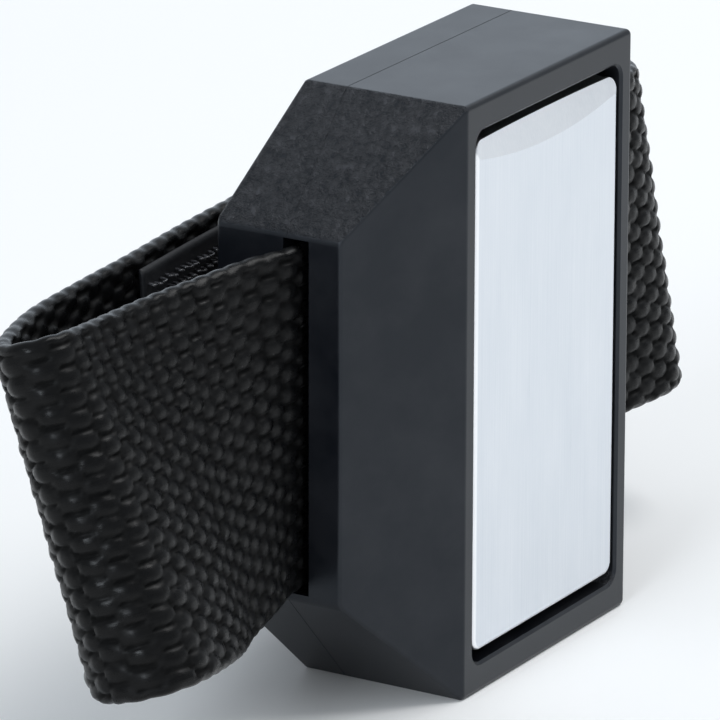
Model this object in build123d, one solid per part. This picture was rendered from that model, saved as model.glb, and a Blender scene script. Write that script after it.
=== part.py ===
"""Clicker trainer: a faceted plastic case with a hinged steel thumb plate, a dimpled
spring-steel reed inside and a woven hand strap with a hook-and-loop closure.

Millimetres. +X is the case's width, -Y is the side with the thumb plate, +Z is up along the
case. Depths are measured back from the front face, and the finished pieces are then moved so
that the origin is the middle of the lower end face, which the case stands on.
"""
import math
import os

from build123d import *

# ---------------------------------------------------------------- driving dimensions
CASE_HEIGHT = 43.4
FRONT_HALF_WIDTH = 11.45      # front face, and both end faces
WING_HALF_WIDTH = 19.4        # side facets, which hold the strap slots
WING_FRONT = 5.4              # how far back the side facets start
WING_BACK = 15.4              # back face
END_DEPTH = 13.1              # depth of the end faces
BASE_MIDDLE = END_DEPTH / 2
WING_END = 8.4                # height of the sloping end facets
WALL = 1.4
JOINT = 9.65                  # plane where the back cover meets the front case
EDGE_RADIUS = 0.4
WING_EDGE_RADIUS = 1.1
JOINT_BREAK = 0.04            # small chamfer along the joint line

WINDOW_HALF_WIDTH = 10.2
WINDOW_END = 2.2              # bezel height below and above the window
WINDOW_CORNER = 1.1
WINDOW_BREAK = 0.2

PLATE_HALF_WIDTH = 9.9
PLATE_END = 3.0               # height of the plate's lower edge, and the same from the top
PLATE_RECESS = 0.1
PLATE_THICKNESS = 0.45
PLATE_RIM_DEPTH = 1.8
PLATE_CORNER = 1.0
PLATE_EDGE_RADIUS = 0.4
PLATE_SLOPE_LENGTH = 2.2      # the upper end bends back over this length
PLATE_SLOPE_DEPTH = 0.5
PLATE_CREASE_RADIUS = 220.0   # the bend is slightly dished, so its crease is an arc

PIVOT_Y = 3.0
PIVOT_Z = 38.2
PIN_RADIUS = 0.75
PIN_HALF_LENGTH = 12.3
PIN_CLEARANCE = 0.05
BARREL_RADIUS = 1.5
KEY_SKIN = 1.4                # thickness of the key inside the plate
KEY_RIBS = (-6.0, -2.0, 2.0, 6.0)
KEY_RIB_THICKNESS = 0.8
KEY_RIB_TOP = 30.0
NOSE_HALF_WIDTH = 2.4         # the nose that pushes the reed
NOSE_LOW = 9.2
NOSE_HIGH = 11.2

REED_HALF_WIDTH = 7.0
REED_FRONT = 4.95
REED_THICKNESS = 0.25
REED_LOW = 8.5
REED_BEND = 31.05             # height where the free tongue leaves its clamp
REED_TOP = 36.5
REED_BEND_GAP = 0.05
DIMPLE_RADIUS = 4.5
DIMPLE_DEPTH = 0.7
DIMPLE_HEIGHT = 19.0
CLAMP_THICKNESS = 0.8
REED_HEAD_RADIUS = 1.5
REED_HEAD_HEIGHT = 0.8
REED_SCREW_X = 4.5
REED_SCREW_Z = 33.9
REED_SCREW_RADIUS = 0.8
SCREW_CLEARANCE = 0.1

FRAME_FRONT = 7.1             # wall between the reed's chamber and the strap's channel
FRAME_THICKNESS = 0.7
COVER_SCREW_LOW = 4.3
COVER_SCREW_RADIUS = 1.0
COVER_SCREW_END = 5.7
COVER_HEAD_RADIUS = 1.9
COVER_HEAD_SEAT = 11.4
COVER_HEAD_HEIGHT = 1.2
BOSS_RADIUS = 2.4
BOSS_WEB_HALF_THICKNESS = 1.2
LUG_FRONT = 1.0               # lugs that hold the pivot pin
LUG_BACK = 5.0
LUG_LOW = 36.2
LEDGE_LEVEL = 12.0            # ledges that the inner frame rests on
LEDGE_THICKNESS = 1.0
LEDGE_REACH = 3.4
GUIDE_RIB_X = 13.0            # ribs behind the strap's channel
GUIDE_RIB_THICKNESS = 1.2
LIP_STARTS = (-9.0, 4.0)      # locating lips inside both end walls
LIP_LENGTH = 5.0
LIP_REACH = 1.0
LIP_THICKNESS = 0.7

STRAP_WIDTH = 25.0
STRAP_THICKNESS = 1.5
SLOT_FRONT = 7.9
SLOT_BACK = 9.95
SLOT_HEIGHT = 25.8
STRAP_LEVEL = 21.7            # middle of the slots
STRAP_CHANNEL = 8.93

TAPE_WIDTH = 23.0
TAPE_THICKNESS = 1.2
TAPE_GAP = 0.06
THREAD = 0.35
STITCH_LENGTH = 2.0
STITCH_PITCH = 2.8
STITCH_INSET = 1.4            # seam line to the tape's edge

# Stations along the middle of the strap: x, y, height and tilt in degrees, where a positive
# tilt leans the upper edge back. The strap runs from its outer free end round the left fold,
# through the case, round the right fold to its inner end.
OUTER_RUN = [
    (17.0, 20.8, 21.0, 0),
    (7.0, 20.8, 20.8, 0),
    (-3.0, 20.8, 20.5, 0),
    (-14.0, 20.6, 20.3, 0),
    (-23.8, 18.9, 20.4, 4),
    (-31.0, 17.2, 20.6, 10),
    (-38.0, 15.4, 20.9, 15),
    (-45.0, 12.3, 21.4, 18),
    (-47.2, 9.2, 22.4, 20),
    (-44.6, 6.6, 23.1, 24),
    (-37.0, 7.6, 22.3, 22),
    (-30.0, 8.8, 21.7, 13),
    (-23.5, 9.1, 21.7, 5),
]
CASE_RUN = [
    (x, STRAP_CHANNEL, STRAP_LEVEL, 0)
    for x in (-WING_HALF_WIDTH, -10.0, 0.0, 10.0, WING_HALF_WIDTH)
]
INNER_RUN = [
    (26.4, 8.9, 21.7, 5),
    (31.4, 9.2, 21.7, 9),
    (34.2, 11.2, 21.5, 11),
    (34.4, 13.8, 21.2, 11),
    (31.6, 16.0, 21.0, 7),
    (26.4, 16.7, 20.9, 3),
    (17.0, 16.7, 20.9, 0),
    (7.0, 16.7, 20.8, 0),
    (-4.0, 16.7, 20.7, 0),
    (-14.0, 16.7, 20.5, 0),
]
STEPS = 4                     # sections between two stations
HOOK_SPAN = (0.25, 4.00)      # where the tapes lie, counted in stations from their strand's
LOOP_SPAN = (0.25, 3.75)      # free end


# ---------------------------------------------------------------- shared shapes
def box_between(low, high):
    """A box from its lowest to its highest corner."""
    size = [b - a for a, b in zip(low, high)]
    middle = [(a + b) / 2 for a, b in zip(low, high)]
    return Pos(*middle) * Box(*size)


def mirror_up(shape):
    """The same shape at the case's other end."""
    return mirror(shape, Plane.XY.offset(CASE_HEIGHT / 2))


def rod_along_y(x, z, radius, front, back):
    """A cylinder along Y."""
    return Pos(x, (front + back) / 2, z) * Rot(90, 0, 0) * Cylinder(radius, back - front)


def rod_along_x(y, z, radius, half_length):
    """A cylinder along X, centred on the case."""
    return Pos(0, y, z) * Rot(0, 90, 0) * Cylinder(radius, 2 * half_length)


def rounded_prism(half_width, low, high, corner, front, back):
    """A rounded rectangle in X and Z, extruded along Y."""
    outline = RectangleRounded(2 * half_width, high - low, corner)
    return extrude(Plane.XZ.offset(-back) * Pos(0, (low + high) / 2) * outline, back - front)


def inset_face(plane, points, inset):
    """A polygon drawn in one plane, with its sides moved in by the wall thickness."""
    face = make_face(Polyline(*points, close=True))
    if inset:
        face = offset(face, amount=-inset, kind=Kind.INTERSECTION)
    return plane * face


def faceted_block(inset=0.0):
    """The case's outer form, or the same form shrunk by a wall thickness on every side."""
    h, w, top = FRONT_HALF_WIDTH, WING_HALF_WIDTH, CASE_HEIGHT
    plan = [(-h, 0), (h, 0), (w, WING_FRONT), (w, WING_BACK), (-w, WING_BACK), (-w, WING_FRONT)]
    front = [(-h, 0), (h, 0), (w, WING_END), (w, top - WING_END),
             (h, top), (-h, top), (-w, top - WING_END), (-w, WING_END)]
    side = [(0, 0), (END_DEPTH, 0), (WING_BACK, WING_END), (WING_BACK, top - WING_END),
            (END_DEPTH, top), (0, top)]
    plan_solid = extrude(inset_face(Plane.XY, plan, inset), top)
    front_solid = extrude(inset_face(Plane.XZ, front, inset), -WING_BACK)
    side_solid = extrude(inset_face(Plane.YZ, side, inset), w, both=True)
    return plan_solid & front_solid & side_solid


def wing_edges(solid):
    """The edges where the sloping end facets meet the side facets."""
    def is_wing(edge):
        middle = edge.center()
        along_y = abs(edge.tangent_at(0.5).Y) > 0.99
        return along_y and abs(abs(middle.X) - WING_HALF_WIDTH) < 0.01
    return solid.edges().filter_by(is_wing)


def outer_form():
    """The faceted block with its moulded edge radii."""
    block = faceted_block()
    block = fillet(wing_edges(block), WING_EDGE_RADIUS)
    return fillet(block.edges(), EDGE_RADIUS)


def slot_cut():
    """Both strap slots, cut right through the case."""
    half = SLOT_HEIGHT / 2
    reach = WING_HALF_WIDTH + 1
    return box_between((-reach, SLOT_FRONT, STRAP_LEVEL - half),
                       (reach, SLOT_BACK, STRAP_LEVEL + half))


def cover_screw_levels():
    """Heights of the two cover screws."""
    return (COVER_SCREW_LOW, CASE_HEIGHT - COVER_SCREW_LOW)


def joint_chamfer(solid):
    """Break the outside edge along the joint plane."""
    def on_joint_rim(edge):
        box = edge.bounding_box()
        flat = box.max.Y - box.min.Y < 0.001 and abs(box.min.Y - JOINT) < 0.001
        middle = edge.center()
        near_end = middle.Z < 0.01 or middle.Z > CASE_HEIGHT - 0.01
        return flat and near_end
    return chamfer(solid.edges().filter_by(on_joint_rim), JOINT_BREAK)


# ---------------------------------------------------------------- case
def make_front_case(form):
    """Front shell: bezel, slanted facets, strap slots, pivot lugs and screw bosses."""
    far = WING_HALF_WIDTH + 1
    shell = form & box_between((-far, -1, -1), (far, JOINT, CASE_HEIGHT + 1))
    shell = shell - faceted_block(WALL)
    shell = joint_chamfer(shell)
    window = rounded_prism(WINDOW_HALF_WIDTH, WINDOW_END, CASE_HEIGHT - WINDOW_END,
                           WINDOW_CORNER, -1, JOINT)
    shell = shell - window
    rim = shell.edges().filter_by(lambda e: abs(e.bounding_box().max.Y) < 0.001
                                  and abs(e.center().X) < WINDOW_HALF_WIDTH + 0.01
                                  and WINDOW_END - 0.01 < e.center().Z
                                  < CASE_HEIGHT - WINDOW_END + 0.01)
    shell = chamfer(rim, WINDOW_BREAK)
    inside = faceted_block(WALL / 2)
    extras = []
    for side in (-1, 1):
        near = side * (WINDOW_HALF_WIDTH + 0.1)
        outer = side * (PIN_HALF_LENGTH + 0.3)
        extras.append(box_between((min(near, outer), LUG_FRONT, LUG_LOW),
                                  (max(near, outer), LUG_BACK, CASE_HEIGHT - WALL / 2)))
        shelf = side * (WING_HALF_WIDTH - LEDGE_REACH)
        wall = side * (WING_HALF_WIDTH - WALL / 2)
        for level in (LEDGE_LEVEL, CASE_HEIGHT - LEDGE_LEVEL):
            half = LEDGE_THICKNESS / 2
            extras.append(box_between((min(shelf, wall), WING_FRONT - 1, level - half),
                                      (max(shelf, wall), FRAME_FRONT, level + half)))
    for level in cover_screw_levels():
        end_wall = WALL / 2 if level < CASE_HEIGHT / 2 else CASE_HEIGHT - WALL / 2
        extras.append(rod_along_y(0, level, BOSS_RADIUS, COVER_SCREW_END - 0.3, FRAME_FRONT))
        web = BOSS_WEB_HALF_THICKNESS
        extras.append(box_between((-web, COVER_SCREW_END - 0.3, min(level, end_wall)),
                                  (web, FRAME_FRONT, max(level, end_wall))))
    for extra in extras:
        shell = shell + (extra & inside)
    shell = shell - rod_along_x(PIVOT_Y, PIVOT_Z, PIN_RADIUS, PIN_HALF_LENGTH)
    for level in cover_screw_levels():
        shell = shell - rod_along_y(0, level, COVER_SCREW_RADIUS, COVER_SCREW_END, FRAME_FRONT + 1)
    return shell - slot_cut()


def make_back_cover(form):
    """Rear shell: screw posts, guide ribs for the strap and a locating lip at each end."""
    far = WING_HALF_WIDTH + 1
    shell = form & box_between((-far, JOINT, -1), (far, WING_BACK + 1, CASE_HEIGHT + 1))
    shell = shell - faceted_block(WALL)
    shell = joint_chamfer(shell)
    inside = faceted_block(WALL / 2)
    frame_back = FRAME_FRONT + FRAME_THICKNESS
    for level in cover_screw_levels():
        post = rod_along_y(0, level, BOSS_RADIUS, frame_back, WING_BACK)
        shell = shell + (post & inside)
    half = SLOT_HEIGHT / 2
    thick = GUIDE_RIB_THICKNESS / 2
    for x in (-GUIDE_RIB_X, GUIDE_RIB_X):
        rib = box_between((x - thick, SLOT_BACK, STRAP_LEVEL - half),
                          (x + thick, WING_BACK, STRAP_LEVEL + half))
        shell = shell + (rib & inside)
    for x in LIP_STARTS:
        lip = box_between((x, JOINT - LIP_REACH, WALL + 0.1),
                          (x + LIP_LENGTH, JOINT + LIP_REACH, WALL + 0.1 + LIP_THICKNESS))
        root = box_between((x, JOINT, WALL - 0.1), (x + LIP_LENGTH, JOINT + LIP_REACH, WALL + 0.2))
        shell = shell + lip + root + mirror_up(lip + root)
    for level in cover_screw_levels():
        shell = shell - rod_along_y(0, level, COVER_SCREW_RADIUS + 0.05, frame_back - 1, WING_BACK)
        shell = shell - rod_along_y(0, level, COVER_HEAD_RADIUS + 0.2, COVER_HEAD_SEAT, WING_BACK + 1)
    return shell - slot_cut()


def make_inner_frame():
    """Moulded wall that carries the reed and keeps the strap out of its chamber."""
    far = WING_HALF_WIDTH
    back = FRAME_FRONT + FRAME_THICKNESS
    plate = faceted_block(WALL + 0.3) & box_between((-far, FRAME_FRONT, 0), (far, back, CASE_HEIGHT))
    block = box_between((-REED_HALF_WIDTH - 1, REED_FRONT + REED_THICKNESS, REED_BEND + 0.4),
                        (REED_HALF_WIDTH + 1, FRAME_FRONT, REED_TOP))
    frame = plate + block
    for x in (-REED_SCREW_X, REED_SCREW_X):
        frame = frame - rod_along_y(x, REED_SCREW_Z, REED_SCREW_RADIUS, REED_FRONT, FRAME_FRONT)
    for level in cover_screw_levels():
        frame = frame - rod_along_y(0, level, COVER_SCREW_RADIUS + SCREW_CLEARANCE,
                                    FRAME_FRONT - 1, back + 1)
    return frame


# ---------------------------------------------------------------- thumb plate and its key
def plate_form(inset):
    """The plate's outer form, or the same form one sheet thickness further in."""
    low = PLATE_END + inset
    high = CASE_HEIGHT - PLATE_END - inset
    front = PLATE_RECESS + inset
    back = PLATE_RIM_DEPTH + PLATE_RECESS
    half = PLATE_HALF_WIDTH - inset
    prism = rounded_prism(half, low, high, PLATE_CORNER - inset / 2, front, back)
    if inset == 0:
        prism = fillet(prism.faces().sort_by(Axis.Y)[0].edges(), PLATE_EDGE_RADIUS)
    return prism - bend_cutter(front)


def bend_cutter(front):
    """What the bend at the upper end takes off a block with its front face at this depth."""
    start = CASE_HEIGHT - PLATE_END - PLATE_SLOPE_LENGTH
    rise = Vector(0, PLATE_SLOPE_DEPTH, PLATE_SLOPE_LENGTH).normalized()
    outward = Vector(0, -rise.Z, rise.Y)
    middle = Vector(0, front, start) + outward * PLATE_CREASE_RADIUS
    return Plane(origin=middle, z_dir=rise) * Cylinder(PLATE_CREASE_RADIUS, 4 * PLATE_SLOPE_LENGTH)


def make_thumb_plate():
    """Pressed steel plate with turned-down rims."""
    return plate_form(0.0) - plate_form(PLATE_THICKNESS)


def make_key_carrier():
    """Plastic lever snapped inside the plate: pivot barrel at its top, pusher nose below."""
    margin = PLATE_THICKNESS + 0.06
    half = PLATE_HALF_WIDTH - margin
    front = PLATE_RECESS + margin
    back = front + KEY_SKIN
    low = PLATE_END + margin
    high = CASE_HEIGHT - PLATE_END - margin
    body = rounded_prism(half, low, high, PLATE_CORNER, front, back)
    body = body - bend_cutter(front)
    barrel = rod_along_x(PIVOT_Y, PIVOT_Z, BARREL_RADIUS, half)
    web = box_between((-half, front + 0.8, PIVOT_Z - BARREL_RADIUS), (half, PIVOT_Y, PIVOT_Z + 0.5))
    body = body + barrel + web
    for x in KEY_RIBS:
        thick = KEY_RIB_THICKNESS / 2
        rib = box_between((x - thick, front + 0.8, low + 1), (x + thick, back + 0.7, KEY_RIB_TOP))
        body = body + rib
    nose = box_between((-NOSE_HALF_WIDTH, back - 0.5, NOSE_LOW),
                       (NOSE_HALF_WIDTH, REED_FRONT - 0.2, NOSE_HIGH))
    nose = fillet(nose.edges().group_by(Axis.Y)[-1], 0.4)
    body = body + nose
    body = body - rod_along_x(PIVOT_Y, PIVOT_Z, PIN_RADIUS + PIN_CLEARANCE, half + 1)
    return body - box_between((-half - 1, PIVOT_Y + 0.4, PIVOT_Z - 3), (-half + 0.01, 9, PIVOT_Z + 3))


def make_pivot_pin():
    """Steel pin across the case, held in its lugs."""
    pin = rod_along_x(PIVOT_Y, PIVOT_Z, PIN_RADIUS, PIN_HALF_LENGTH)
    return chamfer(pin.edges().filter_by(GeomType.CIRCLE), 0.15)


# ---------------------------------------------------------------- reed
def reed_strip(low, high):
    """A flat length of the reed's steel."""
    return box_between((-REED_HALF_WIDTH, REED_FRONT, low),
                       (REED_HALF_WIDTH, REED_FRONT + REED_THICKNESS, high))


def make_reed_tongue():
    """The reed's free length, with the stamped dimple that snaps over."""
    strip = reed_strip(REED_LOW, REED_BEND - REED_BEND_GAP)
    corners = strip.edges().filter_by(Axis.Y).group_by(Axis.Z)[0]
    strip = fillet(corners, 1.5)
    sphere_radius = (DIMPLE_RADIUS ** 2 + DIMPLE_DEPTH ** 2) / (2 * DIMPLE_DEPTH)
    centre_y = REED_FRONT + sphere_radius - DIMPLE_DEPTH
    outer = Pos(0, centre_y, DIMPLE_HEIGHT) * Sphere(sphere_radius)
    inner = Pos(0, centre_y, DIMPLE_HEIGHT) * Sphere(sphere_radius - REED_THICKNESS)
    reach = DIMPLE_RADIUS + 1.5
    window = box_between((-reach, REED_FRONT - 2, DIMPLE_HEIGHT - reach),
                         (reach, REED_FRONT + REED_THICKNESS, DIMPLE_HEIGHT + reach))
    hollow = inner & window
    return (strip + (outer & window)) - hollow


def make_reed_anchor():
    """The reed's clamped end, with its two screw holes."""
    anchor = reed_strip(REED_BEND + REED_BEND_GAP, REED_TOP)
    for x in (-REED_SCREW_X, REED_SCREW_X):
        anchor = anchor - rod_along_y(x, REED_SCREW_Z, REED_SCREW_RADIUS + SCREW_CLEARANCE,
                                      REED_FRONT - 1, FRAME_FRONT)
    return anchor


def make_reed_clamp():
    """Steel bar that presses the reed's end onto the frame."""
    bar = box_between((-REED_HALF_WIDTH - 0.5, REED_FRONT - CLAMP_THICKNESS, REED_BEND + 0.8),
                      (REED_HALF_WIDTH + 0.5, REED_FRONT, REED_TOP - 0.4))
    bar = fillet(bar.edges().filter_by(Axis.Y), 0.6)
    for x in (-REED_SCREW_X, REED_SCREW_X):
        bar = bar - rod_along_y(x, REED_SCREW_Z, REED_SCREW_RADIUS + SCREW_CLEARANCE, 0, FRAME_FRONT)
    return bar


def cross_recess(x, z, front, back, length):
    """The cross slot of a screw head."""
    long_half, short_half = length / 2, 0.2
    upright = box_between((x - short_half, front, z - long_half), (x + short_half, back, z + long_half))
    level = box_between((x - long_half, front, z - short_half), (x + long_half, back, z + short_half))
    return upright + level


def make_reed_screws():
    """Two pan-head screws, put in from the front."""
    seat = REED_FRONT - CLAMP_THICKNESS
    screws = []
    for x in (-REED_SCREW_X, REED_SCREW_X):
        shank = rod_along_y(x, REED_SCREW_Z, REED_SCREW_RADIUS, seat, FRAME_FRONT - 0.2)
        head = rod_along_y(x, REED_SCREW_Z, REED_HEAD_RADIUS, seat - REED_HEAD_HEIGHT, seat)
        head = fillet(head.edges().sort_by(Axis.Y)[0], 0.3)
        recess = cross_recess(x, REED_SCREW_Z, seat - 1, seat - 0.4, 1.6)
        screws.append((shank + head - recess).solid())
    return Compound(screws)


def make_cover_screws():
    """Two screws through the cover and the frame into the case."""
    screws = []
    for level in cover_screw_levels():
        shank = rod_along_y(0, level, COVER_SCREW_RADIUS, COVER_SCREW_END + 0.3, COVER_HEAD_SEAT)
        top = COVER_HEAD_SEAT + COVER_HEAD_HEIGHT
        head = rod_along_y(0, level, COVER_HEAD_RADIUS, COVER_HEAD_SEAT, top)
        head = fillet(head.edges().sort_by(Axis.Y)[-1], 0.4)
        recess = cross_recess(0, level, top - 0.7, top + 1, 2.2)
        screws.append((shank + head - recess).solid())
    return Compound(screws)


# ---------------------------------------------------------------- strap
def smooth_stations(stations):
    """Points on a smooth curve through the stations, STEPS to each span."""
    first = [2 * a - b for a, b in zip(stations[0], stations[1])]
    last = [2 * a - b for a, b in zip(stations[-1], stations[-2])]
    padded = [first] + [list(s) for s in stations] + [last]
    points = []
    for before, start, end, after in zip(padded, padded[1:], padded[2:], padded[3:]):
        for step in range(STEPS):
            t = step / STEPS
            points.append([0.5 * (2 * b + (c - a) * t + (2 * a - 5 * b + 4 * c - d) * t ** 2
                                  + (3 * b - a - 3 * c + d) * t ** 3)
                           for a, b, c, d in zip(before, start, end, after)])
    points.append(list(stations[-1]))
    return points


def strap_sections(points):
    """Centre, width direction and face direction at each point."""
    sections = []
    for i, point in enumerate(points):
        here = Vector(*point[:3])
        before = Vector(*points[max(i - 1, 0)][:3])
        after = Vector(*points[min(i + 1, len(points) - 1)][:3])
        along = (after - before).normalized()
        tilt = math.radians(point[3])
        upward = Vector(0, math.sin(tilt), math.cos(tilt))
        wide = (upward - along * upward.dot(along)).normalized()
        sections.append((here, wide, along.cross(wide)))
    return sections


def ribbon(sections, width, near, far):
    """A closed strip between two offsets from the strap's middle surface."""
    wires = []
    for centre, wide, face in sections:
        half = wide * (width / 2)
        corners = [centre - half + face * near, centre + half + face * near,
                   centre + half + face * far, centre - half + face * far]
        wires.append(Wire.make_polygon(corners, close=True))
    return Solid.make_loft(wires, ruled=True)


def span_of(sections, span):
    """The sections between two station numbers."""
    return sections[round(span[0] * STEPS):round(span[1] * STEPS) + 1]


def seam_places(sections):
    """Places and directions of the stitches of a box seam, as centre, along, face."""
    inset = TAPE_WIDTH / 2 - STITCH_INSET
    lines = [[s[0] + s[1] * side * inset for s in sections] for side in (-1, 1)]
    faces = [s[2] for s in sections]
    places = []
    for line in lines:
        travelled = STITCH_PITCH / 2
        for start, end, face in zip(line, line[1:], faces):
            length = (end - start).length
            along = (end - start).normalized()
            while travelled + STITCH_LENGTH / 2 < length:
                places.append((start + along * travelled, along, face))
                travelled += STITCH_PITCH
            travelled = max(travelled - length, STITCH_LENGTH / 2)
    for centre, wide, face in (sections[0], sections[-1]):
        count = int(2 * inset / STITCH_PITCH)
        for i in range(count):
            places.append((centre + wide * ((i + 0.5) * STITCH_PITCH - inset), wide, face))
    return places


def make_stitches(sections, side):
    """Thread lengths of a box seam, lying on the strap's free face."""
    stitches = []
    rise = STRAP_THICKNESS / 2 + THREAD / 2 + 0.1
    for centre, along, face in seam_places(sections):
        place = Plane(origin=centre + face * (side * rise), x_dir=along, z_dir=face * side)
        stitches.append((place * Box(STITCH_LENGTH, THREAD, THREAD)).solid())
    return Compound(stitches)


# ---------------------------------------------------------------- assembly
def main():
    """Build every piece and write one STEP file for each."""
    form = outer_form()
    strap = strap_sections(smooth_stations(OUTER_RUN + CASE_RUN + INNER_RUN))
    outer_strand = span_of(strap, HOOK_SPAN)
    last = len(OUTER_RUN + CASE_RUN + INNER_RUN) - 1
    inner_strand = span_of(strap, (last - LOOP_SPAN[1], last - LOOP_SPAN[0]))
    half = STRAP_THICKNESS / 2
    nodes = {
        "front_case": make_front_case(form),
        "back_cover": make_back_cover(form),
        "inner_frame": make_inner_frame(),
        "thumb_plate": make_thumb_plate(),
        "key_carrier": make_key_carrier(),
        "pivot_pin": make_pivot_pin(),
        "reed_tongue": make_reed_tongue(),
        "reed_anchor": make_reed_anchor(),
        "reed_clamp": make_reed_clamp(),
        "reed_screws": make_reed_screws(),
        "cover_screws": make_cover_screws(),
        "strap_webbing": ribbon(strap, STRAP_WIDTH, -half, half),
        "hook_tape": ribbon(outer_strand, TAPE_WIDTH, -half - TAPE_THICKNESS, -half - TAPE_GAP),
        "loop_tape": ribbon(inner_strand, TAPE_WIDTH, half + TAPE_GAP, half + TAPE_THICKNESS),
        "hook_tape_stitches": make_stitches(outer_strand, 1),
        "loop_tape_stitches": make_stitches(inner_strand, -1),
    }
    os.makedirs("parts", exist_ok=True)
    for name, shape in nodes.items():
        export_step(Pos(0, -BASE_MIDDLE, 0) * shape, f"parts/{name}.step")


main()
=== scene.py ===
"""Clicker trainer: camera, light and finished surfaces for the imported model.

Metres, in the model's own frame: +X across the case, -Y out of the thumb plate, +Z up.
"""
import math

import bpy
import numpy as np
from mathutils import Matrix, Vector


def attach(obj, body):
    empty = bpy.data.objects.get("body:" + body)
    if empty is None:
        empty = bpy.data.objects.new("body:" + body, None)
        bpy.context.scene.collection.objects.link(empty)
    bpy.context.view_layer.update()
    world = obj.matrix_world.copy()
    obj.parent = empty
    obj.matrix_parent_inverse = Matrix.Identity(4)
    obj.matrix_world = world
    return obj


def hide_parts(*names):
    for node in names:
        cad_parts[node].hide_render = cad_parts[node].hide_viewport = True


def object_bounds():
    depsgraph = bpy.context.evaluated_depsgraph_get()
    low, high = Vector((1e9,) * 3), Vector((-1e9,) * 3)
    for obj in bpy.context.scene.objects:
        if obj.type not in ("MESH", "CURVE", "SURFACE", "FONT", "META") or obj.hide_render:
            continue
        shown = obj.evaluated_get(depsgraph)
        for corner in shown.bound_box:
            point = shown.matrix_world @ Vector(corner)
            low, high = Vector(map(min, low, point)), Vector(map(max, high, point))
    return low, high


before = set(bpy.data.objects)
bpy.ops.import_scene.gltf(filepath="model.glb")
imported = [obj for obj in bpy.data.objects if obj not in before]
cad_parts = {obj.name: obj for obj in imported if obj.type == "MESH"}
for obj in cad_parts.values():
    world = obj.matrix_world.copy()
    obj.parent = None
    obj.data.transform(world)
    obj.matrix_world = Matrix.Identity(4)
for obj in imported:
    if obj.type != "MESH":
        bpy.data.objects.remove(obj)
CAD_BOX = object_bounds()
MM = 0.001

# ---------------------------------------------------------------- camera
CAMERA_AZIMUTH = math.radians(-59.058)
CAMERA_ELEVATION = math.radians(18.372)
CAMERA_ROLL = math.radians(0.139)
CAMERA_DISTANCE = 0.522
CAMERA_LENS = 377.7
AIM = Vector((-14.882, -0.05, 25.066)) * MM


def add_camera():
    """The camera stands round to the left of the thumb plate and looks slightly down."""
    back = Vector((
        math.sin(CAMERA_AZIMUTH) * math.cos(CAMERA_ELEVATION),
        -math.cos(CAMERA_AZIMUTH) * math.cos(CAMERA_ELEVATION),
        math.sin(CAMERA_ELEVATION),
    ))
    right = Vector((math.cos(CAMERA_AZIMUTH), math.sin(CAMERA_AZIMUTH), 0))
    turn = Matrix((right, back.cross(right), back)).transposed()
    data = bpy.data.cameras.new("camera")
    data.sensor_width = 36
    data.lens = CAMERA_LENS
    data.clip_start = 0.01
    data.clip_end = 20
    camera = bpy.data.objects.new("camera", data)
    spin = Matrix.Rotation(CAMERA_ROLL, 3, "Z")
    camera.matrix_world = Matrix.Translation(AIM + back * CAMERA_DISTANCE) @ (turn @ spin).to_4x4()
    bpy.context.scene.collection.objects.link(camera)
    bpy.context.scene.camera = camera


add_camera()


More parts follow.
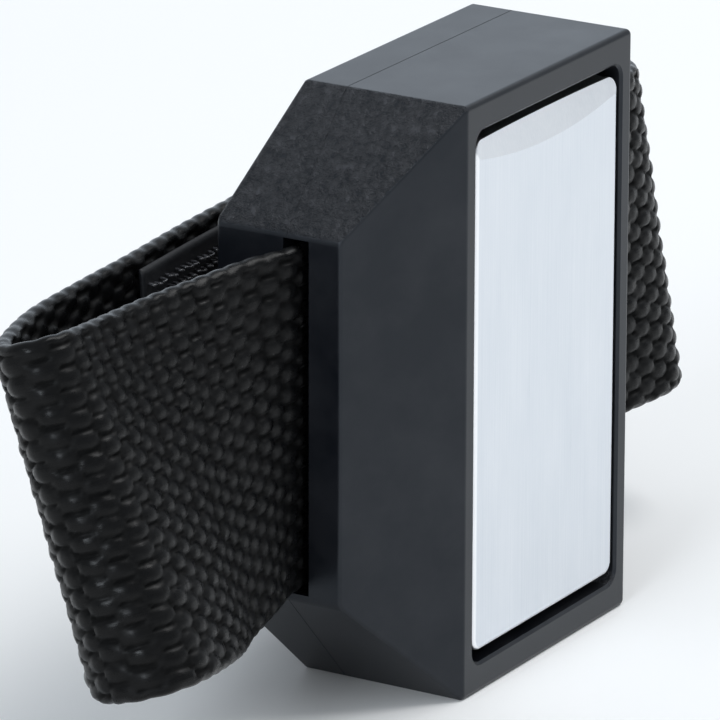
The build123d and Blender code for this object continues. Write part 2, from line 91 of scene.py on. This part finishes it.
# ---------------------------------------------------------------- material helpers
class Paint:
    """A material's node tree, with short calls for the nodes used here."""

    def __init__(self, name):
        self.material = bpy.data.materials.new(name)
        self.material.use_nodes = True
        self.tree = self.material.node_tree
        self.shader = self.tree.nodes["Principled BSDF"]

    def node(self, kind, **settings):
        made = self.tree.nodes.new(kind)
        for key, value in settings.items():
            setattr(made, key, value)
        return made

    def link(self, output, target):
        self.tree.links.new(output, target)

    def set(self, **values):
        """Numbers that are the same all over the surface, by socket name."""
        for key, value in values.items():
            self.shader.inputs[key.replace("_", " ")].default_value = value

    def place(self, scale=(1, 1, 1), source="Object"):
        """Coordinates in metres, stretched by scale."""
        coordinates = self.node("ShaderNodeTexCoord")
        mapping = self.node("ShaderNodeMapping")
        mapping.inputs["Scale"].default_value = scale
        self.link(coordinates.outputs[source], mapping.inputs["Vector"])
        return mapping.outputs["Vector"]

    def noise(self, where, scale, detail=3, roughness=0.5):
        made = self.node("ShaderNodeTexNoise")
        made.inputs["Scale"].default_value = scale
        made.inputs["Detail"].default_value = detail
        made.inputs["Roughness"].default_value = roughness
        self.link(where, made.inputs["Vector"])
        return made.outputs["Fac"]

    def spread(self, value, low, high, start=0.3, end=0.7):
        """value from start..end spread over low..high."""
        made = self.node("ShaderNodeMapRange")
        for key, number in zip(("From Min", "From Max", "To Min", "To Max"), (start, end, low, high)):
            made.inputs[key].default_value = number
        self.link(value, made.inputs["Value"])
        return made.outputs["Result"]

    def tint(self, value, dark, light, start=0.3, end=0.7):
        """A colour from dark to light as value goes from start to end."""
        ramp = self.node("ShaderNodeValToRGB")
        ramp.color_ramp.elements[0].position = start
        ramp.color_ramp.elements[1].position = end
        ramp.color_ramp.elements[0].color = (*dark, 1)
        ramp.color_ramp.elements[1].color = (*light, 1)
        self.link(value, ramp.inputs["Fac"])
        return ramp.outputs["Color"]

    def math(self, how, first, second=0):
        made = self.node("ShaderNodeMath", operation=how)
        for socket, value in zip(made.inputs, (first, second)):
            if isinstance(value, (int, float)):
                socket.default_value = value
            else:
                self.link(value, socket)
        return made.outputs[0]

    def blend(self, first, share, second, rest):
        """Two values added in the given shares."""
        return self.math("ADD", self.math("MULTIPLY", first, share), self.math("MULTIPLY", second, rest))

    def normal_axes(self):
        """The x, y and z parts of the surface's direction in the model's frame."""
        geometry = self.node("ShaderNodeNewGeometry")
        axes = self.node("ShaderNodeSeparateXYZ")
        self.link(geometry.outputs["Normal"], axes.inputs["Vector"])
        return axes.outputs["X"], axes.outputs["Y"], axes.outputs["Z"]

    def bump(self, height, distance, strength=1.0, under=None):
        made = self.node("ShaderNodeBump")
        made.inputs["Distance"].default_value = distance
        made.inputs["Strength"].default_value = strength
        self.link(height, made.inputs["Height"])
        if under:
            self.link(under, made.inputs["Normal"])
        return made.outputs["Normal"]

    def colour(self, socket):
        self.link(socket, self.shader.inputs["Base Color"])

    def rough(self, socket):
        self.link(socket, self.shader.inputs["Roughness"])

    def normal(self, socket):
        self.link(socket, self.shader.inputs["Normal"])


def moulded_plastic(name, dark, light, roughness, grain):
    """Moulded plastic: fine grain all over, and a spark-eroded skin on the upper sloping facets."""
    paint = Paint(name)
    # The bluish specular tint is a painted cast on the reflections, standing in for the cool studio
    # light.
    paint.set(IOR=1.5, Specular_IOR_Level=0.42, Specular_Tint=(0.84, 0.91, 1.0, 1))
    where = paint.place()
    fine = paint.noise(where, 9000, 4, 0.6)
    broad = paint.noise(where, 160, 4, 0.6)
    sideways, _, up = paint.normal_axes()
    upward = paint.spread(up, 0, 1, 0.25, 0.5)
    outward = paint.spread(paint.math("ABSOLUTE", sideways), 0, 1, 0.1, 0.3)
    slope = paint.math("MULTIPLY", upward, outward)
    spark = paint.noise(where, 1500, 5, 0.7)
    mottle = paint.math("MULTIPLY", slope, paint.spread(spark, 0, 1, 0.38, 0.62))
    paint.colour(paint.tint(paint.blend(broad, 0.5, mottle, 0.5), dark, light, 0.2, 0.8))
    base = paint.spread(broad, roughness - 0.03, roughness + 0.05)
    paint.rough(paint.math("ADD", base, paint.math("MULTIPLY", slope, 0.08)))
    skin = paint.bump(fine, 0.000012 * grain, 0.5)
    paint.normal(paint.bump(mottle, 0.00025, 1.0, skin))
    return paint.material


def brushed_steel(name, dark, light, roughness, along="Z", scratch=0.0000025, painted_rim_highlights=False):
    """Steel with fine brushing along one axis.

    It can also take a painted highlight: edges that turn away from the front are painted lighter, and so
    is the upturned bent end.
    """
    paint = Paint(name)
    paint.set(Metallic=1.0)
    stretch = {"X": (60, 9000, 9000), "Z": (9000, 9000, 60)}[along]
    lines = paint.noise(paint.place(stretch), 1.0, 4, 0.65)
    clouds = paint.noise(paint.place((1, 1, 0.4)), 260, 4, 0.6)
    mixed = paint.blend(lines, 0.55, clouds, 0.45)
    shade = paint.math("MULTIPLY", mixed, 0.5)
    # Painted highlight: lighter colour along the plate's turned edges and over its upturned bent end.
    if painted_rim_highlights:
        _, frontward, up = paint.normal_axes()
        rim_highlight = paint.spread(paint.math("ABSOLUTE", frontward), 0.6, 0, 0.88, 0.97)
        bent_end_highlight = paint.spread(up, 0, 0.22, 0.02, 0.06)
        shade = paint.math("ADD", shade, paint.math("ADD", rim_highlight, bent_end_highlight))
    paint.colour(paint.tint(shade, dark, light, 0.15, 0.65))
    paint.rough(paint.spread(mixed, roughness - 0.06, roughness + 0.08))
    paint.normal(paint.bump(lines, scratch, 0.6))
    return paint.material


def woven_thread(name, dark, light, roughness, grain=0.00002, gloss=0.3, painted_crevice_shade=False):
    """Twisted filament yarn. The fibres run along the strap, which the UV map gives in metres.

    It can also take painted shade: the colour darker low down between its knuckles, and the surface
    duller and rougher there.
    """
    paint = Paint(name)
    paint.set(Specular_IOR_Level=gloss)
    fibres = paint.noise(paint.place((700, 9000, 1), "UV"), 1.0, 4, 0.7)
    patches = paint.noise(paint.place((1, 1, 1), "UV"), 900, 4, 0.6)
    mixed = paint.blend(fibres, 0.6, patches, 0.4)
    rough = paint.spread(patches, roughness - 0.08, roughness + 0.12)
    if painted_crevice_shade:
        crown = paint.node("ShaderNodeAttribute", attribute_name="crown").outputs["Fac"]
        # Painted shade: the colour is darkened where the crown is low, between the knuckles.
        mixed = paint.math("MULTIPLY", mixed, paint.spread(crown, 0.3, 1, 0.25, 0.85))
        rough = paint.math("ADD", rough, paint.spread(crown, 0.45, 0, 0.35, 0.85))
    paint.colour(paint.tint(mixed, dark, light, 0.3, 0.72))
    paint.rough(rough)
    paint.normal(paint.bump(fibres, grain, 0.7))
    return paint.material


CASE_BLACK = moulded_plastic(
    "case_plastic_black", (0.0036, 0.0044, 0.0066), (0.042, 0.042, 0.046), roughness=0.34, grain=1.0)
FRAME_BLACK = moulded_plastic(
    "frame_plastic_black", (0.018, 0.018, 0.020), (0.060, 0.060, 0.066), roughness=0.50, grain=1.5)
KEY_BLACK = moulded_plastic(
    "key_plastic_black", (0.009, 0.009, 0.010), (0.036, 0.036, 0.039), roughness=0.45, grain=1.2)
# The light colour is reached mostly at the painted highlights on the plate's edges and bent end.
PLATE_STEEL = brushed_steel(
    "plate_steel_satin", (0.66, 0.70, 0.75), (0.97, 0.98, 1.0), 0.32, painted_rim_highlights=True)
PIN_STEEL = brushed_steel("pin_steel_ground", (0.42, 0.42, 0.44), (0.85, 0.85, 0.87), 0.25, "X")
REED_STEEL = brushed_steel("reed_steel_tempered", (0.36, 0.37, 0.40), (0.80, 0.81, 0.82), 0.22, "X")
CLAMP_STEEL = brushed_steel("clamp_steel_blanked", (0.40, 0.40, 0.42), (0.82, 0.82, 0.84), 0.35, "X")
SCREW_STEEL = brushed_steel("screw_steel_plated", (0.30, 0.30, 0.32), (0.78, 0.78, 0.80), 0.28, "X")
WEBBING = woven_thread(
    "webbing_black", (0.0006, 0.0006, 0.0007), (0.0050, 0.0050, 0.0053), 0.27, gloss=0.155, painted_crevice_shade=True)
HOOK_BASE = woven_thread(
    "hook_tape_black", (0.007, 0.0075, 0.009), (0.020, 0.021, 0.024), 0.5, grain=0.00001)
LOOP_BASE = woven_thread(
    "loop_tape_black", (0.004, 0.004, 0.004), (0.012, 0.012, 0.012), 0.8, grain=0.00004, gloss=0.2)
THREAD = woven_thread("thread_black", (0.010, 0.010, 0.011), (0.030, 0.030, 0.032), 0.35)


def hook_monofilament():
    """Glossy black nylon monofilament."""
    paint = Paint("hook_monofilament")
    paint.set(Coat_Weight=0.6, Coat_Roughness=0.12)
    speckle = paint.noise(paint.place(), 2500, 3, 0.6)
    paint.colour(paint.tint(speckle, (0.016, 0.016, 0.018), (0.075, 0.075, 0.082)))
    paint.rough(paint.spread(speckle, 0.14, 0.30))
    return paint.material


HOOK_WIRE = hook_monofilament()

FINISH = {
    "front_case": CASE_BLACK, "back_cover": CASE_BLACK, "inner_frame": FRAME_BLACK,
    "key_carrier": KEY_BLACK, "thumb_plate": PLATE_STEEL, "pivot_pin": PIN_STEEL,
    "reed_tongue": REED_STEEL, "reed_anchor": REED_STEEL, "reed_clamp": CLAMP_STEEL,
    "reed_screws": SCREW_STEEL, "cover_screws": SCREW_STEEL,
}
for node_name, finish in FINISH.items():
    for material_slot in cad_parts[node_name].material_slots:
        material_slot.material = finish


# ---------------------------------------------------------------- the strap's line
# Stations along the middle of the strap: x, depth behind the front face, height, all in
# millimetres, and the backward tilt of the upper edge in degrees. It runs from the outer free
# end round the left fold, through the case, round the right fold to the inner free end.
OUTER_RUN = [
    (17.0, 20.8, 21.0, 0),
    (7.0, 20.8, 20.8, 0),
    (-3.0, 20.8, 20.5, 0),
    (-14.0, 20.6, 20.3, 0),
    (-23.8, 18.9, 20.4, 4),
    (-31.0, 17.2, 20.6, 10),
    (-38.0, 15.4, 20.9, 15),
    (-45.0, 12.3, 21.4, 18),
    (-47.2, 9.2, 22.4, 20),
    (-44.6, 6.6, 23.1, 24),
    (-37.0, 7.6, 22.3, 22),
    (-30.0, 8.8, 21.7, 13),
    (-23.5, 9.1, 21.7, 5),
]
CASE_RUN = [(x, 8.93, 21.7, 0) for x in (-19.4, -10, 0, 10, 19.4)]
INNER_RUN = [
    (26.4, 8.9, 21.7, 5),
    (31.4, 9.2, 21.7, 9),
    (34.2, 11.2, 21.5, 11),
    (34.4, 13.8, 21.2, 11),
    (31.6, 16.0, 21.0, 7),
    (26.4, 16.7, 20.9, 3),
    (17.0, 16.7, 20.9, 0),
    (7.0, 16.7, 20.8, 0),
    (-4.0, 16.7, 20.7, 0),
    (-14.0, 16.7, 20.5, 0),
]
BASE_MIDDLE = 6.55
STRAP_WIDTH = 25.0
STRAP_THICKNESS = 1.5
TAPE_WIDTH = 23.0
TAPE_GAP = 0.06
HOOK_SPAN = (0.25, 4.0)       # stations from the outer free end
LOOP_SPAN = (0.25, 3.75)      # stations from the inner free end
STEPS = 64                    # samples between two stations


class Line:
    """The strap's middle line with its width and face directions, by distance along it."""

    def __init__(self, stations):
        knots = np.array(stations, float)
        knots[:, 1] -= BASE_MIDDLE
        ends = np.vstack([2 * knots[0] - knots[1], knots, 2 * knots[-1] - knots[-2]])
        t = np.arange(STEPS)[:, None] / STEPS
        pieces = []
        for a, b, c, d in zip(ends, ends[1:], ends[2:], ends[3:]):
            square = 2 * a - 5 * b + 4 * c - d
            cube = 3 * b - a - 3 * c + d
            pieces.append(0.5 * (2 * b + (c - a) * t + square * t**2 + cube * t**3))
        points = np.vstack(pieces + [knots[-1:]])
        self.centre = points[:, :3]
        along = np.gradient(self.centre, axis=0)
        along /= np.linalg.norm(along, axis=1)[:, None]
        tilt = np.radians(points[:, 3])
        upward = np.stack([0 * tilt, np.sin(tilt), np.cos(tilt)], axis=-1)
        self.wide = upward - along * np.sum(upward * along, axis=1)[:, None]
        self.wide /= np.linalg.norm(self.wide, axis=1)[:, None]
        self.face = np.cross(along, self.wide)
        steps = np.linalg.norm(np.diff(self.centre, axis=0), axis=1)
        self.run = np.concatenate([[0], np.cumsum(steps)])

    def at_station(self, number):
        """Distance along the line at a station, counted from the start."""
        return float(np.interp(number * STEPS, np.arange(len(self.run)), self.run))

    def at(self, distance):
        """(centre, wide, face) at each distance."""
        return tuple(
            np.stack([np.interp(distance, self.run, column) for column in values.T], axis=-1)
            for values in (self.centre, self.wide, self.face)
        )


LINE = Line(OUTER_RUN + CASE_RUN + INNER_RUN)


def lay(s, across, out):
    """A grid of points on the strap: each row lies at one distance s along it.

    The points stand across from its middle line, and out from the middle of its thickness.
    """
    centre, wide, face = LINE.at(s)
    sideways = wide[:, None, :] * across[..., None]
    return centre[:, None, :] + sideways + face[:, None, :] * out[..., None]


def add_piece(name, vertices, faces, materials, cad_nodes, uv=None, crown=None):
    """A mesh object in the model's frame, from millimetres, that rides on the case."""
    mesh = bpy.data.meshes.new(name)
    mesh.from_pydata((np.asarray(vertices) * MM).tolist(), [], faces)
    if uv is not None:
        layer = mesh.uv_layers.new(name="strap")
        corner = np.zeros(len(mesh.loops), np.int32)
        mesh.loops.foreach_get("vertex_index", corner)
        layer.data.foreach_set("uv", (np.asarray(uv)[corner] * MM).astype(np.float32).ravel())
    if crown is not None:
        attribute = mesh.attributes.new("crown", "FLOAT", "POINT")
        attribute.data.foreach_set("value", np.asarray(crown, np.float32).ravel())
    mesh.polygons.foreach_set("use_smooth", [True] * len(mesh.polygons))
    for material in materials:
        mesh.materials.append(material)
    piece = bpy.data.objects.new(name, mesh)
    bpy.context.scene.collection.objects.link(piece)
    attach(piece, "case")
    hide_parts(*cad_nodes)


def grid_faces(rings, around):
    """Quads of a tube of rings, closed round each ring, with a cap of quads at both ends."""
    i, j = np.meshgrid(np.arange(rings - 1), np.arange(around), indexing="ij")
    k = (j + 1) % around
    this_ring, next_ring = i * around, (i + 1) * around
    quads = np.stack([this_ring + j, this_ring + k, next_ring + k, next_ring + j], -1)
    faces = quads.reshape(-1, 4).tolist()
    half = around // 2
    for start in (0, (rings - 1) * around):
        for n in range(half - 1):
            faces.append([start + n, start + n + 1, start + around - 2 - n, start + around - 1 - n])
    return faces


# ---------------------------------------------------------------- webbing
ROWS = 17                    # rows of knuckles across the strap
ROW = STRAP_WIDTH / ROWS     # width of one row
KNUCKLE = 1.62               # spacing of knuckles along the strap
CROWN = 0.46                 # height of a knuckle over the ground between
ROW_SAMPLES = 8              # points across one row
RING_STEP = 0.27             # spacing of the mesh's rings along the strap
SELVEDGE_INSET = 0.62        # middle of the edge cord, in from the strap's edge
SELVEDGE_WIDTH = 0.56        # half width of the edge cord
SELVEDGE_HEIGHT = 0.58       # half height of the edge cord
SELVEDGE_PULSE = 0.16        # how far each turn of the edge cord swells
SELVEDGE_SIDES = 6           # points round the edge cord


def hashed(a, b):
    """A repeatable number from 0 to 1 for each pair of whole numbers."""
    mixed = np.sin(a * 127.1 + b * 311.7) * 43758.5453
    return mixed - np.floor(mixed)


def knuckles(s, w):
    """Height of the weave at distance s along and w across: rounded knuckles, half-dropped."""
    height = np.zeros(np.broadcast(s, w).shape)
    for family in (0, 1):
        column = np.round((s / KNUCKLE - family) / 2) * 2 + family
        row = np.round(w / ROW - family / 2)
        jitter = hashed(column, row + 40 * family)
        wander = hashed(row, column - 17 * family)
        ds = s - (column + 0.22 * (jitter - 0.5)) * KNUCKLE
        dw = w - (row + family / 2 + 0.12 * (wander - 0.5)) * ROW
        ds = ds + 0.10 * dw
        dome = 1 - np.abs(ds / (0.67 * KNUCKLE)) ** 2.3 - np.abs(dw / (0.52 * ROW)) ** 2.2
        ply = 0.05 * np.cos(2 * math.pi * (ds / 0.72 + 0.25 * dw))
        knuckle = np.sqrt(np.clip(dome, 0, 1)) * (0.88 + 0.20 * jitter) + ply * (dome > 0.12)
        height = np.maximum(height, knuckle)
    return height


def woven_run(name, start, end):
    """One stretch of the strap's webbing, woven on both faces, with corded selvedges."""
    half_width = STRAP_WIDTH / 2
    rows = np.arange(-ROWS * ROW_SAMPLES // 2 + 3, ROWS * ROW_SAMPLES // 2 - 2)
    w = rows * ROW / ROW_SAMPLES
    s = np.linspace(start, end, int((end - start) / RING_STEP) + 1)
    ground = STRAP_THICKNESS / 2 - CROWN
    front_crown = knuckles(s[:, None], w[None, :])
    back_crown = knuckles(s[:, None] + KNUCKLE, w[None, :])
    front = ground + CROWN * front_crown
    back = ground + CROWN * back_crown

    angle = np.linspace(0, math.pi, SELVEDGE_SIDES + 2)[1:-1]
    pulse = 1 + SELVEDGE_PULSE * np.abs(np.sin(math.pi * s / KNUCKLE))[:, None]
    edge_in = half_width - SELVEDGE_INSET
    edge_out = SELVEDGE_WIDTH * np.sin(angle)[None, :] * pulse
    edge_up = SELVEDGE_HEIGHT * np.cos(angle)[None, :] * pulse
    edge_crown = np.full((len(s), len(angle)), 0.9)

    across = np.concatenate([
        np.broadcast_to(w, front.shape),
        edge_in + edge_out,
        np.broadcast_to(w[::-1], back.shape),
        -edge_in - edge_out,
    ], axis=1)
    out = np.concatenate([front, edge_up, -back[:, ::-1], -edge_up], axis=1)
    # The crown, the height of the weave, also carries the webbing's painted shade between the knuckles.
    crown = np.concatenate([front_crown, edge_crown, back_crown[:, ::-1], edge_crown], axis=1)
    # The two faces and the two edges have their own stretches of the UV map.
    unrolled = np.concatenate([w, half_width + 0.5 * angle, w[::-1] + 40, 60 + 0.5 * angle])
    uv = np.stack(np.broadcast_arrays(s[:, None], unrolled[None, :]), -1)
    add_piece(
        name, lay(s, across, out).reshape(-1, 3), grid_faces(*across.shape),
        [WEBBING], ["strap_webbing"], uv.reshape(-1, 2), crown)


LAST = len(OUTER_RUN + CASE_RUN + INNER_RUN) - 1
LEFT_SLOT = LINE.at_station(len(OUTER_RUN))
RIGHT_SLOT = LINE.at_station(len(OUTER_RUN + CASE_RUN) - 1)
woven_run("webbing_outer_run", 0, LEFT_SLOT)
woven_run("webbing_case_run", LEFT_SLOT, RIGHT_SLOT)
woven_run("webbing_inner_run", RIGHT_SLOT, LINE.run[-1])


# ---------------------------------------------------------------- hook and loop tapes
HOOK_RUN = tuple(LINE.at_station(station) for station in HOOK_SPAN)
LOOP_RUN = tuple(LINE.at_station(LAST - station) for station in reversed(LOOP_SPAN))
GROUND_THICKNESS = 0.35
MARGIN_THICKNESS = 0.08      # the ground thins to this at the tape's edges
HOOK_PITCH = 0.85
HOOK_RADIUS = 0.09
LOOP_PITCH = 0.95
LOOP_RADIUS = 0.05


def tape_ground(name, run, side, material, cad_node):
    """The tape's woven ground with a smooth margin, lying on the strap's face."""
    s = np.linspace(run[0], run[1], int((run[1] - run[0]) / 0.3))
    w = np.linspace(-TAPE_WIDTH / 2, TAPE_WIDTH / 2, 93)
    low = STRAP_THICKNESS / 2 + TAPE_GAP - 0.10
    rib = 0.03 * np.cos(2 * math.pi * w / 0.75)[None, :] * np.cos(2 * math.pi * s / 0.9)[:, None]
    margin = np.clip((TAPE_WIDTH / 2 - np.abs(w)) / 0.35, 0, 1)[None, :] ** 0.5
    top = low + MARGIN_THICKNESS + (GROUND_THICKNESS - MARGIN_THICKNESS) * margin + rib
    out = np.concatenate([top, np.full_like(top, low)[:, ::-1]], axis=1) * side
    across = np.concatenate([w, w[::-1]])[None, :] * np.ones((len(s), 1))
    uv = np.stack(np.broadcast_arrays(s[:, None], across), -1)
    add_piece(
        name, lay(s, across, out).reshape(-1, 3), grid_faces(*across.shape),
        [material], [cad_node], uv.reshape(-1, 2))


def wires(name, paths, radius, sides, material, cad_node):
    """Many thin bent wires as one mesh. paths is (count, points, 3) in millimetres."""
    count, points, _ = paths.shape
    along = np.gradient(paths, axis=1)
    along /= np.linalg.norm(along, axis=2)[..., None]
    helper = np.cross(along, np.array([0.31, 0.17, 0.93]))
    helper /= np.linalg.norm(helper, axis=2)[..., None]
    other = np.cross(along, helper)
    turn = np.arange(sides) * 2 * math.pi / sides
    ring = helper[:, :, None] * np.cos(turn)[:, None] + other[:, :, None] * np.sin(turn)[:, None]
    vertices = paths[:, :, None] + ring * radius
    faces = []
    for n in range(count):
        first = n * points * sides
        last = first + (points - 1) * sides
        for ring in range(first, last, sides):
            for j in range(sides):
                k = (j + 1) % sides
                faces.append([ring + j, ring + k, ring + sides + k, ring + sides + j])
        faces.append([first + j for j in range(sides)][::-1])
        faces.append([last + j for j in range(sides)])
    add_piece(name, vertices.reshape(-1, 3), faces, [material], [cad_node])


def tuft_places(run, pitch, margin, seed):
    """Seeded, slightly scattered places on a tape: distances along, across, and a random number."""
    chance = np.random.default_rng(seed)
    s, w = np.meshgrid(
        np.arange(run[0] + 0.8, run[1] - 0.6, pitch),
        np.arange(-TAPE_WIDTH / 2 + margin, TAPE_WIDTH / 2 - margin, pitch), indexing="ij")
    s = s + np.where(np.arange(s.shape[1]) % 2, pitch / 2, 0)[None, :]
    s = s.ravel() + chance.normal(0, 0.06, s.size)
    w = w.ravel() + chance.normal(0, 0.05, w.size)
    return s, w, chance.random(s.size)


def hooks():
    """Rows of bent monofilament hooks, all leaning across the tape."""
    s, w, chance = tuft_places(HOOK_RUN, HOOK_PITCH, margin=0.5, seed=5)
    centre, wide, face = LINE.at(s)
    along = np.cross(wide, face)
    t = np.linspace(0, 1, 8)[None, :, None]
    low = STRAP_THICKNESS / 2 + TAPE_GAP + 0.2
    tall = (0.66 + 0.14 * chance)[:, None, None]
    rise = low + tall * np.sin(t * math.pi * 0.78)
    lean = 0.62 * (1 - np.cos(t * math.pi * 0.80)) * 0.5
    tilt = (chance - 0.5)[:, None, None] * 0.5
    root = (centre + wide * w[:, None])[:, None, :]
    paths = root - face[:, None, :] * rise + along[:, None, :] * lean + wide[:, None, :] * lean * tilt
    wires("hooks", paths, HOOK_RADIUS, 5, HOOK_WIRE, "hook_tape")


def loops():
    """Low tangled loops that cover the loop tape."""
    s, w, chance = tuft_places(LOOP_RUN, LOOP_PITCH, margin=1.0, seed=9)
    centre, wide, face = LINE.at(s)
    along = np.cross(wide, face)
    t = np.linspace(0, 1, 7)[None, :, None]
    low = STRAP_THICKNESS / 2 + TAPE_GAP + 0.2
    heading = (chance * 2 * math.pi)[:, None, None]
    arch = low + 0.75 * np.sin(t * math.pi) * (0.6 + 0.4 * chance)[:, None, None]
    reach = (t - 0.5) * 1.3
    root = (centre + wide * w[:, None])[:, None, :]
    paths = root + face[:, None, :] * arch
    paths = paths + along[:, None, :] * reach * np.cos(heading)
    paths = paths + wide[:, None, :] * reach * np.sin(heading)
    wires("loops", paths, LOOP_RADIUS, 4, LOOP_BASE, "loop_tape")


tape_ground("hook_tape_ground", HOOK_RUN, -1, HOOK_BASE, "hook_tape")
hooks()
tape_ground("loop_tape_ground", LOOP_RUN, 1, LOOP_BASE, "loop_tape")
loops()


# ---------------------------------------------------------------- seams
STITCH_LENGTH = 2.0
STITCH_PITCH = 2.8
STITCH_INSET = 1.4
THREAD_RADIUS = 0.17


def seam(name, run, side, cad_node):
    """Lock stitches round the edge of a tape, on the strap's outer face."""
    inset = TAPE_WIDTH / 2 - STITCH_INSET
    first, last = run[0] + STITCH_INSET, run[1] - STITCH_INSET
    lengthwise = np.arange(first + STITCH_PITCH / 2, last - STITCH_PITCH / 2, STITCH_PITCH)
    crosswise = np.arange(-inset + STITCH_PITCH / 2, inset, STITCH_PITCH)
    middles = [(s, w, 1, 0) for w in (-inset, inset) for s in lengthwise]
    middles += [(s, w, 0, 1) for s in (first, last) for w in crosswise]
    middles = np.array(middles)
    t = np.linspace(-1, 1, 9)
    s = middles[:, None, 0] + middles[:, None, 2] * t * STITCH_LENGTH / 2
    w = middles[:, None, 1] + middles[:, None, 3] * t * STITCH_LENGTH / 2
    centre, wide, face = LINE.at(s)
    lift = STRAP_THICKNESS / 2 + 0.16 - 0.42 * np.abs(t) ** 3
    paths = centre + wide * w[..., None] + face * (side * lift)[None, :, None]
    wires(name, paths, THREAD_RADIUS, 8, THREAD, cad_node)


seam("hook_tape_seam", HOOK_RUN, 1, "hook_tape_stitches")
seam("loop_tape_seam", LOOP_RUN, -1, "loop_tape_stitches")


# ---------------------------------------------------------------- stage and light
FLOOR_HALF_SIZE = 6.0        # metres
SURROUND_COLOUR = (0.88, 0.94, 1.0, 1)
SURROUND_STRENGTH = 0.55


def pale_floor():
    """Matt off-white, with very faint clouding."""
    paint = Paint("pale_floor")
    paint.set(Specular_IOR_Level=0.2)
    cloud = paint.noise(paint.place(), 3, 2)
    paint.colour(paint.tint(cloud, (0.93, 0.925, 0.915), (0.97, 0.965, 0.955)))
    paint.rough(paint.spread(cloud, 0.55, 0.65))
    return paint.material


def add_stage():
    """A large pale floor and an even pale surround."""
    size = FLOOR_HALF_SIZE
    mesh = bpy.data.meshes.new("floor")
    corners = [(-size, -size, 0), (size, -size, 0), (size, size, 0), (-size, size, 0)]
    mesh.from_pydata(corners, [], [(0, 1, 2, 3)])
    mesh.materials.append(pale_floor())
    floor = bpy.data.objects.new("floor", mesh)
    bpy.context.scene.collection.objects.link(floor)
    world = bpy.data.worlds.new("studio")
    world.use_nodes = True
    background = world.node_tree.nodes["Background"]
    background.inputs["Color"].default_value = SURROUND_COLOUR
    background.inputs["Strength"].default_value = SURROUND_STRENGTH
    bpy.context.scene.world = world
    bpy.context.scene.view_settings.view_transform = "Standard"


def add_softbox(name, place, aim, size, power, colour=(1, 1, 1)):
    """A square area light at place, turned towards aim. Both are in metres."""
    data = bpy.data.lights.new(name, "AREA")
    data.size = size
    data.energy = power
    data.color = colour
    light = bpy.data.objects.new(name, data)
    light.location = place
    light.rotation_euler = (Vector(aim) - Vector(place)).to_track_quat("-Z", "Y").to_euler()
    bpy.context.scene.collection.objects.link(light)


add_stage()
MIDDLE = tuple((CAD_BOX[0] + CAD_BOX[1]) / 2)
add_softbox("softbox_top", (0.30, -0.25, 0.75), MIDDLE, 0.5, 3.6)
add_softbox("softbox_behind", (0.90, 0.54, 0.34), MIDDLE, 0.9, 1.8, (0.76, 0.87, 1.0))
add_softbox("softbox_left", (-0.95, -0.08, 0.42), MIDDLE, 0.32, 3.6, (0.86, 0.93, 1.0))
